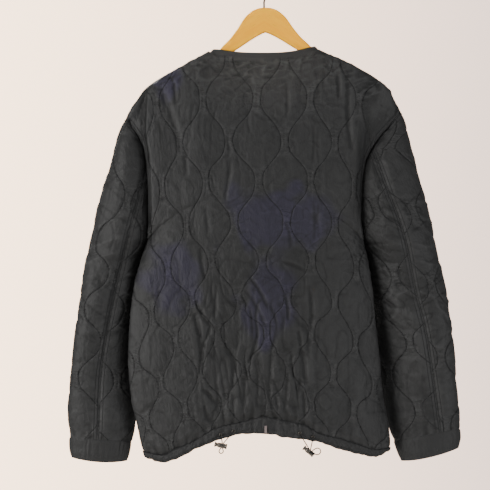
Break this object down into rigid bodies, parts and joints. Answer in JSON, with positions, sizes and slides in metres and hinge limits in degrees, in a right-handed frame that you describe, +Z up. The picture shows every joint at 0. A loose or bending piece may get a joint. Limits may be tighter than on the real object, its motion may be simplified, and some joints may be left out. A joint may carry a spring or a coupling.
{
  "type": "quilted jacket on hanger",
  "caption": "Collarless quilted jacket with snap front, gathered cuffs and a drawcord hem, hanging closed on a wooden hanger.",
  "frame": {"origin": "inside the top of the hanger's hook, where it rests on its rail", "axes": "+X the wearer's left, +Y out of the jacket's back, +Z up"},
  "size_m": [0.7273, 0.1416, 0.9057],
  "materials": {
    "nylon": "dark grey nylon with a soft sheen",
    "binding": "black bias tape",
    "elastic": "round woven elastic cord",
    "tape": "matt greyish-pink tape",
    "gunmetal": "polished gunmetal plating",
    "beech": "clear satin lacquer",
    "steel": "bright nickel"
  },
  "bodies": {
    "root": {"back_panel": "nylon", "front_panel_left": "nylon", "front_panel_right": "nylon", "upper_sleeve_left": "nylon", "upper_sleeve_right": "nylon", "under_sleeve_left": "nylon", "under_sleeve_right": "nylon", "cuff_left": "nylon", "cuff_right": "nylon", "hem_casing_back": "nylon", "hem_casing_left": "nylon", "hem_casing_right": "nylon", "neck_binding": "binding", "front_binding_left": "binding", "front_binding_right": "binding", "snap_1": "gunmetal", "snap_2": "gunmetal", "snap_3": "gunmetal", "snap_4": "gunmetal", "snap_5": "gunmetal", "eyelet_left_inner": "gunmetal", "eyelet_left_outer": "gunmetal", "eyelet_right_inner": "gunmetal", "eyelet_right_outer": "gunmetal", "lock_left": "gunmetal", "lock_right": "gunmetal", "lock_button_left": "gunmetal", "lock_button_right": "gunmetal", "cord_left": "elastic", "cord_right": "elastic", "hem_tab": "tape", "hanger_wood": "beech", "hanger_hook": "steel"}
  },
  "joints": []
}
